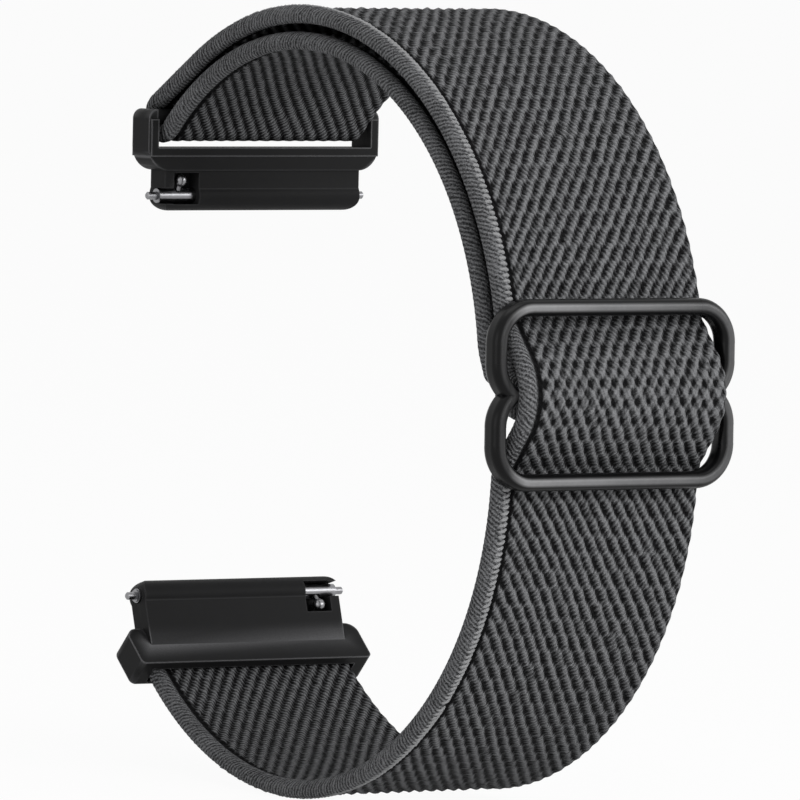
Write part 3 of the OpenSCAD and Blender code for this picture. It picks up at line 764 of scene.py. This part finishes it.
class Finish:
    """The nodes of a material or of the world, which all come from one method."""

    def __init__(self, owner):
        self.owner = owner
        owner.use_nodes = True
        self.tree = owner.node_tree
        self.tree.nodes.clear()

    def add(self, kind, settings, *values, out=0, **named):
        """A node of this kind with its settings, then values or links for its sockets.

        A value of None leaves its socket as it is.
        """
        node = self.tree.nodes.new(kind)
        for key, value in settings.items():
            setattr(node, key, value)
        sockets = dict(enumerate(values))
        sockets.update({key.replace("_", " "): value for key, value in named.items()})
        for key, value in sockets.items():
            if isinstance(value, Channel):
                self.tree.links.new(value.socket, node.inputs[key])
            elif value is not None:
                node.inputs[key].default_value = value
        return Channel(self, node.outputs[out]) if node.outputs else None

    def mark(self, name):
        """A value that the mesh carries under this name."""
        return self.add("ShaderNodeAttribute", {"attribute_name": name}, out="Fac")

    def blend(self, share, low, high):
        """Mix of two colours."""
        low, high = [c if isinstance(c, Channel) else (*c, 1.0) for c in (low, high)]
        # The sockets between the share and the colours are for numbers and vectors
        other_kinds = [None] * 5
        return self.add(
            "ShaderNodeMix", {"data_type": "RGBA"}, share, *other_kinds, low, high, out=2)

    def place(self):
        """Place on the object, in metres."""
        return self.add("ShaderNodeTexCoord", {}, out="Object")

    def along(self, axis):
        """Place along an axis of the object, in millimetres."""
        return self.add("ShaderNodeSeparateXYZ", {}, self.place(), out=axis) * (1 / MM)

    def noise(self, size, detail=3.0):
        """Noise whose grain is size metres."""
        return self.add("ShaderNodeTexNoise", {}, Vector=self.place(), Scale=1 / size,
                        Detail=detail)

    def dot(self, a, b):
        """How far two directions agree."""
        return self.add("ShaderNodeVectorMath", {"operation": "DOT_PRODUCT"}, a, b, out="Value")

    def edge(self, reach):
        """1 along outer edges, and 0 in corners and further than reach metres from an edge."""
        samples = {"samples": EDGE_SAMPLES}
        rounded = self.add("ShaderNodeBevel", samples, reach)
        flat = self.add("ShaderNodeNewGeometry", {}, out="True Normal")
        bent = (1.0 - self.dot(rounded, flat)) * EDGE_GAIN
        air = self.add("ShaderNodeAmbientOcclusion", samples, Distance=reach * 3, out="AO")
        open_air = air * OPEN_GAIN - OPEN_START
        return bent.between(0.0, 1.0) * open_air.between(0.0, 1.0)

    def bump(self, height, depth, strength=1.0):
        """Normal from a height that is depth metres at 1."""
        return self.add("ShaderNodeBump", {}, Height=height, Distance=depth, Strength=strength)

    def surface(self, **sockets):
        """Joins a shader with these values to the output, and gives the material back."""
        shader = self.add("ShaderNodeBsdfPrincipled", {}, **sockets)
        self.add("ShaderNodeOutputMaterial", {}, shader)
        return self.owner


# Slope of the yarn's fine strokes, along and across the strip
STROKE_ALONG, STROKE_ACROSS = 0.52, 0.85
# How far the strokes stray, in radians at the widest
STROKE_STRAY = 7.0
# What brightens the yarn: the height of a knot about its middle, which paints shade into the low
# places between the knots, the strokes, which are stronger and darker on the ribs, the tone of
# each knot, fuzz and broad unevenness
KNOT_MIDDLE, KNOT_WEIGHT = 0.5, 1.75
STROKE_WEIGHT, RIB_STROKES, RIB_DARK = 0.4, 0.25, 0.17
TONE_WEIGHT, FUZZ_WEIGHT, BROAD_WEIGHT = 0.04, 0.75, 0.1
YARN_LEVEL, YARN_CONTRAST = 0.32, 1.5
# What brightens the cord: its winding, fuzz and broad unevenness
WOUND_WEIGHT, ROPE_FUZZ, ROPE_BROAD, ROPE_LEVEL = 0.75, 2.2, 0.6, 0.12
# The same for the stitches, and how much the fuzz lifts the surface
BEAD_FUZZ, BEAD_LEVEL, FUZZ_RELIEF = 1.1, 0.6, 1.6


def dimmed(shade, share):
    """A colour at a share of its brightness."""
    return [v * share for v in shade]


def webbing_finish(w, c):
    """Nylon yarn: gaps darkened with painted shade, rounded knots with a fine twist, a wound cord
    and its stitches.
    """
    f = Finish(bpy.data.materials.new("nylon_webbing"))
    x, s, tone, rib = [f.mark(name) for name in ("weave_x", "weave_s", "tone", "rib")]
    knot, cord, bead, lean = [f.mark(name) for name in ("knot", "cord", "bead", "lean")]
    cloud = f.noise(size=0.0006, detail=2.0) - 0.5
    broad = f.noise(size=0.005, detail=2.0) - 0.5
    fuzz = f.noise(size=0.00014, detail=2.0) - 0.5

    def strokes(lay):
        """Fine strokes of twisted yarn, 0 to 1, where lay is a distance across them."""
        turned = lay * (2 * math.pi / w.yarn_pitch)
        return (turned + cloud * STROKE_STRAY).sine() * 0.5 + 0.5

    right = strokes(s * STROKE_ALONG - x * STROKE_ACROSS)
    left = strokes(s * STROKE_ALONG + x * STROKE_ACROSS)
    wound = strokes(s + x * CORD_LAY)
    side = lean * 0.5 + 0.5
    strand = right * side + left * (1.0 - side)
    # Painted shade: the knot's height darkens the yarn towards the gaps between the knots
    knot_shading = (knot - KNOT_MIDDLE) * KNOT_WEIGHT
    twisted = strand * (rib * RIB_STROKES + STROKE_WEIGHT) - rib * RIB_DARK
    uneven = tone * TONE_WEIGHT + fuzz * FUZZ_WEIGHT + broad * BROAD_WEIGHT
    lit = (knot_shading + twisted + uneven + YARN_LEVEL).between(0.0, 1.0)
    shade = f.blend(lit ** YARN_CONTRAST, c.gap, c.yarn)
    rope = wound * WOUND_WEIGHT + fuzz * ROPE_FUZZ + broad * ROPE_BROAD + ROPE_LEVEL
    rope = f.blend(rope.between(0.0, 1.0), dimmed(c.cord, 0.1), c.cord)
    shade = f.blend(cord, shade, rope)
    pearl = (fuzz * BEAD_FUZZ + BEAD_LEVEL).between(0.0, 1.0)
    shade = f.blend(bead, shade, f.blend(pearl, dimmed(c.bead, 0.55), c.bead))
    height = (strand * (1.0 - cord) + wound * cord) * (1.0 - bead) + fuzz * FUZZ_RELIEF
    return f.surface(Base_Color=shade, Roughness=0.85, Specular_IOR_Level=0.12,
                     Normal=f.bump(height, depth=0.00011))


def thread_finish(c):
    """Twisted sewing thread."""
    f = Finish(bpy.data.materials.new("sewing_thread"))
    grain = f.noise(size=0.00015, detail=2.0)
    return f.surface(
        Base_Color=f.blend(grain, dimmed(c.thread, 0.4), c.thread),
        Roughness=0.75, Normal=f.bump(grain, depth=0.00004))


# Near a spring bar, within this many mm, the highlight painted along the adapters' edges keeps
# only this share
LUG_REACH, LUG_SHARE = 2.2, 0.15


def adapter_finish(c, bar_height):
    """Satin black moulding with a fine sparked skin, and a highlight painted along its edges away
    from the bar.
    """
    f = Finish(bpy.data.materials.new("satin_black"))
    skin = f.noise(size=0.00011)
    cloud = f.noise(size=0.0035)
    shade = f.blend(cloud, dimmed(c.adapter, 0.8), dimmed(c.adapter, 1.25))
    past_lug = abs(abs(f.along("Z")) - bar_height) - LUG_REACH
    # Painted highlight: a lighter colour along the outer edges, for the light that they catch
    edge_highlight = f.edge(reach=0.00022) * (skin * 0.8 + 0.6) * past_lug.between(LUG_SHARE, 1.0)
    return f.surface(
        Base_Color=f.blend(edge_highlight.between(0.0, 1.0), shade, c.edge),
        Roughness=cloud * 0.12 + 0.44, Specular_IOR_Level=0.05,
        Normal=f.bump(skin, depth=0.000012, strength=0.6))


# Direction that the painted highlight on the crown of the buckle's bars faces, how squarely a
# place has to face it before the highlight shows, and how fast it then shows
HIGHLIGHT_FACES, HIGHLIGHT_START, HIGHLIGHT_GAIN = (0.12, -0.99, 0.08), 0.78, 5.5
# The painted highlight grows from faint at the left end of the bars, per mm, and dims to the
# right
LEFT_GAIN, LEFT_END, LEFT_FAINT = 0.5, 5.9, 0.12
MIDDLE_SHARE, RIGHT_FALL = 0.78, 0.032


def enamel_finish(c):
    """Gloss black enamel with a faint orange peel, and a grey highlight painted along the crown
    of the bars.
    """
    f = Finish(bpy.data.materials.new("black_enamel"))
    peel = f.noise(size=0.0011, detail=1.0)
    cloud = f.noise(size=0.005)
    fine = f.noise(size=0.0004, detail=2.0)
    front = f.dot(f.add("ShaderNodeNewGeometry", {}, out="Normal"), HIGHLIGHT_FACES)
    across = f.along("X")
    from_left = (across * LEFT_GAIN + LEFT_END).between(LEFT_FAINT, 1.0)
    middle = from_left * (MIDDLE_SHARE - across * RIGHT_FALL)
    top = ((front - HIGHLIGHT_START) * HIGHLIGHT_GAIN).between(0.0, 1.0) ** 2.0
    # Painted highlight: grey where the bars face one fixed direction, standing in for a lamp's
    # reflection
    crown = top * (cloud * 0.5 + fine * 0.2 + 0.5) * middle
    shade = f.blend(cloud, dimmed(c.enamel, 0.8), dimmed(c.enamel, 1.3))
    return f.surface(
        Base_Color=f.blend(crown.between(0.0, 1.0), shade, c.crown),
        Roughness=cloud * 0.06 + 0.25, Specular_IOR_Level=0.15,
        Normal=f.bump(peel, depth=0.000006, strength=0.5))


def steel_finish(c):
    """Turned stainless steel."""
    f = Finish(bpy.data.materials.new("turned_steel"))
    cloud = f.noise(size=0.0007)
    return f.surface(
        Base_Color=f.blend(cloud, dimmed(c.steel, 0.86), c.steel),
        Metallic=1.0, Roughness=cloud * 0.16 + 0.24)


def cad_paint(nodes, material):
    """Gives CAD nodes a finish."""
    for name in nodes:
        mesh = frame["nodes"][name].data
        mesh.materials.clear()
        mesh.materials.append(material)


def at_metres(point):
    """A point of the side view as a place in the frame."""
    return (0.0, point[0] * MM, point[1] * MM)


class BandOperator(bpy.types.Operator):
    """Base of the steps that dress the band."""

    bl_options = {"REGISTER", "UNDO"}

    def groups(self, context):
        """Route, weave and colours of the scene."""
        s = context.scene
        return s.band_route, s.webbing_weave, s.band_colours


class BAND_OT_webbing(BandOperator):
    """Weaves the strip from its sewn tail to the lower adapter"""

    bl_idname = "band.webbing"
    bl_label = "Weave the Webbing"

    def execute(self, context):
        r, w, c = self.groups(context)
        route = Route(r, w)
        finish = webbing_finish(w, c)
        stands_for = {
            "webbing_end_loop": ["web_end_loop"],
            "webbing_inner_run": ["web_inner_run", "web_inner_take_up"],
            "webbing_fold": ["web_fold"],
            "webbing_outer_run": ["web_outer_run", "web_upper_take_up"],
            "webbing_bridge": ["web_bridge"],
            "webbing_lower_share": ["web_lower_take_up"],
            "webbing_lower_run": ["web_lower_run"],
            "webbing_lower_bend": ["web_lower_bend"],
            "webbing_lower_end": ["web_lower_end"],
        }
        bends = {
            "webbing_inner_run": ("strap", "buckle", route.share_inner),
            "webbing_outer_run": ("strap", "buckle", route.share_upper),
            "webbing_lower_share": ("buckle", "strap", route.share_lower),
            "webbing_lower_bend": ("strap", "lower_end", route.share_bend),
        }
        rides = {"webbing_end_loop": "buckle", "webbing_fold": "strap",
                 "webbing_bridge": "buckle", "webbing_lower_run": "strap",
                 "webbing_lower_end": "lower_end"}
        for name, nodes in stands_for.items():
            piece = weave_piece(w, route, name)
            piece.data.materials.append(finish)
            if name in bends:
                a, b, (start, end) = bends[name]
                at_metres(start)
                at_metres(end)
                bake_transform(piece)
            else:
                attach(piece, rides[name])
            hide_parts(*nodes)
        return {"FINISHED"}


class BAND_OT_thread(BandOperator):
    """Finishes the bar tacks of the sewn end"""

    bl_idname = "band.thread"
    bl_label = "Finish the Stitches"

    def execute(self, context):
        cad_paint(["end_loop_stitches"], thread_finish(context.scene.band_colours))
        return {"FINISHED"}


class BAND_OT_buckle(BandOperator):
    """Enamels the slide buckle"""

    bl_idname = "band.buckle"
    bl_label = "Finish the Buckle"

    def execute(self, context):
        cad_paint(["buckle_frame"], enamel_finish(context.scene.band_colours))
        return {"FINISHED"}


# Facets closer than this are joined, and the adapters' edges are broken by this width, in mm
WELD_REACH, BROKEN_WIDTH = 0.002, 0.12
# Edges sharper than this angle are broken, in this many steps
BROKEN_ANGLE, BROKEN_STEPS = math.radians(35), 2
# Large faces alone set the shading of the adapters
LARGE_FACES_ONLY = 100


class BAND_OT_adapters(BandOperator):
    """Breaks the edges of both adapters and gives them their satin skin"""

    bl_idname = "band.adapters"
    bl_label = "Finish the Adapters"

    def execute(self, context):
        r, _, c = self.groups(context)
        names = ["upper_adapter", "lower_adapter"]
        cad_paint(names, adapter_finish(c, r.bar_span / 2))
        for name in names:
            piece = frame["nodes"][name]
            weld = piece.modifiers.new("joined_facets", "WELD")
            weld.merge_threshold = WELD_REACH * MM
            bevel = piece.modifiers.new("broken_edges", "BEVEL")
            bevel.width = BROKEN_WIDTH * MM
            bevel.segments = BROKEN_STEPS
            bevel.limit_method = "ANGLE"
            bevel.angle_limit = BROKEN_ANGLE
            piece.data.polygons.foreach_set("use_smooth", [True] * len(piece.data.polygons))
            even = piece.modifiers.new("even_faces", "WEIGHTED_NORMAL")
            even.weight = LARGE_FACES_ONLY
        return {"FINISHED"}


class BAND_OT_spring_bars(BandOperator):
    """Polishes the parts of both spring bars"""

    bl_idname = "band.spring_bars"
    bl_label = "Finish the Spring Bars"

    def execute(self, context):
        finish = steel_finish(context.scene.band_colours)
        parts = ("bar_tube", "fixed_tip", "plunger", "release_knob", "bar_spring")
        for end in ("upper", "lower"):
            cad_paint([f"{end}_{part}" for part in parts], finish)
            self.coil(context, end)
        return {"FINISHED"}

    def coil(self, context, end):
        """The bar's coil spring, as a copy that rides on the parent body of the knob's slide in
        place of the imported one.
        """
        node, rule = f"{end}_bar_spring", RULES[f"{end}_release_slide"]
        spring = bpy.data.objects.new(f"{end}_spring_coil", frame["nodes"][node].data.copy())
        context.scene.collection.objects.link(spring)
        low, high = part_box(node)
        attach(spring, rule["parent"])
        1 - rule["range_m"][1] / (high[0] - low[0])
        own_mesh(spring)
        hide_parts(node)


# Place of each lamp to the right of the target, above it and ahead of it as the camera sees
# it, and the lamp's width and height, in metres
LAMPS = {
    "key": ((0.26, 0.12, -0.30), (0.22, 0.30)),
    "fill": ((-0.30, 0.05, -0.40), (0.30, 0.30)),
    "strip": ((0.455113, 0.127659, -0.151886), (0.36, 0.13)),
    "top": ((0.0, 0.34, -0.10), (0.30, 0.16)),
}
# Width of the camera's sensor in mm, and the nearest and furthest that it sees in metres
SENSOR_WIDTH = 36.0
NEAREST, FURTHEST = 0.01, 20.0
# Half the side of the floor in metres, and how much of its own white the camera sees there
FLOOR_HALF, FLOOR_WHITE = 1.5, 0.95
WHITE = (1.0, 1.0, 1.0, 1.0)


class BAND_OT_studio(BandOperator):
    """Sets the camera, the lamps, the floor and the white surroundings"""

    bl_idname = "band.studio"
    bl_label = "Set the Studio"

    def axes(self, v):
        """Directions to the right, upwards and ahead in the picture, as columns."""
        ahead = Vector(v.heading).normalized()
        right = ahead.cross(Vector(v.upright)).normalized()
        return Matrix((right, right.cross(ahead), ahead)).transposed()

    def camera(self, scene, v, axes):
        """Camera at the photograph's place."""
        data = bpy.data.cameras.new("camera")
        data.sensor_width = SENSOR_WIDTH
        data.lens = v.scale * v.distance / v.frame_size * SENSOR_WIDTH
        data.clip_start, data.clip_end = NEAREST, FURTHEST
        eye = bpy.data.objects.new("camera", data)
        place = (Vector(v.target) - axes.col[2] * v.distance) * MM
        turned = (axes @ Matrix.Diagonal((1, 1, -1))).to_4x4()
        eye.matrix_world = Matrix.Translation(place) @ turned
        scene.collection.objects.link(eye)
        scene.camera = eye

    def lamp(self, scene, name, place, target, size, watts):
        """Soft rectangular lamp."""
        data = bpy.data.lights.new(name, "AREA")
        data.shape = "RECTANGLE"
        data.size, data.size_y = size
        data.energy = watts
        lamp = bpy.data.objects.new(name, data)
        lamp.location = place
        lamp.rotation_euler = (target - place).to_track_quat("-Z", "Y").to_euler()
        scene.collection.objects.link(lamp)

    def seen(self, f):
        """1 where the camera, a reflection or a see-through path looks."""
        camera, glossy, through = [
            f.add("ShaderNodeLightPath", {}, out=f"Is {kind} Ray")
            for kind in ("Camera", "Glossy", "Transmission")]
        return (camera + glossy + through).between(0.0, 1.0)

    def floor(self, scene, v, c):
        """Pale floor just under the band, which keeps its shadow."""
        f = Finish(bpy.data.materials.new("studio_floor"))
        lit = f.add("ShaderNodeBsdfDiffuse", {}, Color=(*c.floor, 1.0))
        white = f.add("ShaderNodeEmission", {}, Color=WHITE, Strength=1.0)
        mix = f.add("ShaderNodeMixShader", {}, self.seen(f) * FLOOR_WHITE, lit, white)
        f.add("ShaderNodeOutputMaterial", {}, mix)
        mesh = bpy.data.meshes.new("studio_floor")
        low = CAD_BOX[0][2] - v.clearance * MM
        corners = [(x * FLOOR_HALF, y * FLOOR_HALF, low)
                   for x, y in ((-1, -1), (1, -1), (1, 1), (-1, 1))]
        mesh.from_pydata(corners, [], [(0, 1, 2, 3)])
        mesh.materials.append(f.owner)
        floor = bpy.data.objects.new("studio_floor", mesh)
        scene.collection.objects.link(floor)

    def surroundings(self, scene, v):
        """White world that lights the band softly."""
        f = Finish(bpy.data.worlds.new("studio"))
        strength = self.seen(f) * (1.0 - v.world) + v.world
        glow = f.add("ShaderNodeBackground", {}, Color=WHITE, Strength=strength)
        f.add("ShaderNodeOutputWorld", {}, glow)
        scene.world = f.owner

    def execute(self, context):
        scene = context.scene
        v = scene.studio_view
        axes = self.axes(v)
        self.camera(scene, v, axes)
        target = Vector(v.target) * MM
        for name, (place, size) in LAMPS.items():
            self.lamp(scene, name, target + axes @ Vector(place), target, size, getattr(v, name))
        self.floor(scene, v, scene.band_colours)
        self.surroundings(scene, v)
        scene.view_settings.view_transform = "Standard"
        return {"FINISHED"}


class BAND_PT_sidebar(bpy.types.Panel):
    """Sizes, colours and steps of the watch band"""

    bl_idname = "BAND_PT_sidebar"
    bl_label = "Watch Band"
    bl_space_type = "VIEW_3D"
    bl_region_type = "UI"
    bl_category = "Watch Band"

    def draw(self, context):
        layout = self.layout
        for group in (context.scene.band_route, context.scene.webbing_weave,
                      context.scene.band_colours, context.scene.studio_view):
            box = layout.box()
            box.label(text=group.bl_rna.name)
            for key in group.bl_rna.properties.keys():
                if key not in ("rna_type", "name"):
                    box.prop(group, key)
        for step in STEPS:
            layout.operator(step.bl_idname)


GROUPS = {"band_route": BandRoute, "webbing_weave": WebbingWeave,
          "band_colours": BandColours, "studio_view": StudioView}
STEPS = (BAND_OT_studio, BAND_OT_webbing, BAND_OT_thread, BAND_OT_buckle,
         BAND_OT_adapters, BAND_OT_spring_bars)


def register():
    """Registers the groups, the steps and the panel."""
    for cls in (*GROUPS.values(), *STEPS, BAND_PT_sidebar):
        bpy.utils.register_class(cls)
    for name, group in GROUPS.items():
        setattr(bpy.types.Scene, name, bpy.props.PointerProperty(type=group))


def unregister():
    """Takes them out again."""
    for name in GROUPS:
        delattr(bpy.types.Scene, name)
    for cls in (BAND_PT_sidebar, *reversed(STEPS), *reversed(GROUPS.values())):
        bpy.utils.unregister_class(cls)


def main():
    """Dresses the band."""
    register()
    for step in STEPS:
        group, name = step.bl_idname.split(".")
        if getattr(getattr(bpy.ops, group), name)() != {"FINISHED"}:
            raise RuntimeError(f"{step.bl_label} did not finish")


if __name__ == "__main__":
    main()
